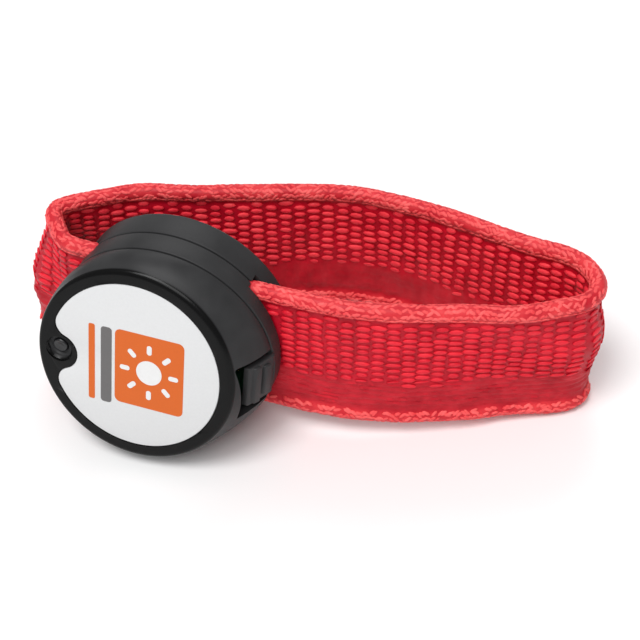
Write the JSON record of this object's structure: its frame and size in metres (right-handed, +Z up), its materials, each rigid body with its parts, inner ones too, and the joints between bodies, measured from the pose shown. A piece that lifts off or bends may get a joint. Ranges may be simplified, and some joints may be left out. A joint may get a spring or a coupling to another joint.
{
  "type": "light-up wristband",
  "caption": "Light-up wristband: a standing oval loop of tubular webbing round a flat light guide, clamped in a round battery housing with a raked face and a push switch.",
  "frame": {"origin": "centre of the housing's flat face on the wrist side", "axes": "+Y into the loop, square to the wrist face; +X along the housing towards the long side of the loop; +Z up across the webbing"},
  "size_m": [0.0938, 0.0458, 0.037],
  "materials": {
    "cap_black": "glossy moulded rim, satin flank",
    "shell_black": "satin, fine spark-eroded grain",
    "label_white": "satin printed polycarbonate",
    "button_black": "soft satin",
    "webbing_red": "woven nylon with a low sheen",
    "guide_clear": "frosted flexible light guide",
    "clamp_steel": "pressed plate",
    "screw_steel": "plated",
    "board_green": "solder mask",
    "led_lens": "cast epoxy",
    "switch_metal": "pressed can",
    "plunger_plastic": "moulded",
    "chip_black": "moulded epoxy",
    "resistor_dark": "ceramic body with tinned ends",
    "cell_steel": "bright stainless",
    "holder_grey": "moulded",
    "contact_gold": "plated spring strip",
    "pad_foam": "closed-cell foam"
  },
  "bodies": {
    "wristband": {"back_shell": "shell_black", "middle_ring": "shell_black", "webbing_sleeve": "webbing_red", "light_guide": "guide_clear", "clamp_left": "clamp_steel", "clamp_right": "clamp_steel", "clamp_screws": "screw_steel", "case_screws": "screw_steel", "circuit_board": "board_green", "led_left": "led_lens", "led_right": "led_lens", "switch_body": "switch_metal", "controller_chip": "chip_black", "resistors": "resistor_dark", "cell_front": "cell_steel", "cell_rear": "cell_steel", "battery_holder": "holder_grey", "positive_contact": "contact_gold", "negative_contact": "contact_gold"},
    "cap": {"front_cap": "cap_black", "face_label": "label_white", "battery_pad": "pad_foam"},
    "button": {"power_button": "button_black"},
    "plunger": {"switch_plunger": "plunger_plastic"}
  },
  "joints": [
    {"name": "cap_pull", "type": "slide", "parent": "wristband", "child": "cap", "axis": [0, -1, 0], "range_m": [0, 0.015]},
    {"name": "button_press", "type": "slide", "parent": "cap", "child": "button", "axis": [0, 1, 0], "range_m": [0, 0.0005], "stiffness_N_per_m": 400},
    {"name": "plunger_press", "type": "slide", "parent": "wristband", "child": "plunger", "axis": [0, 1, 0], "range_m": [0, 0.0005]}
  ],
  "couplings": [
    {"joint": "plunger_press", "follows": "button_press", "ratio": 1}
  ]
}
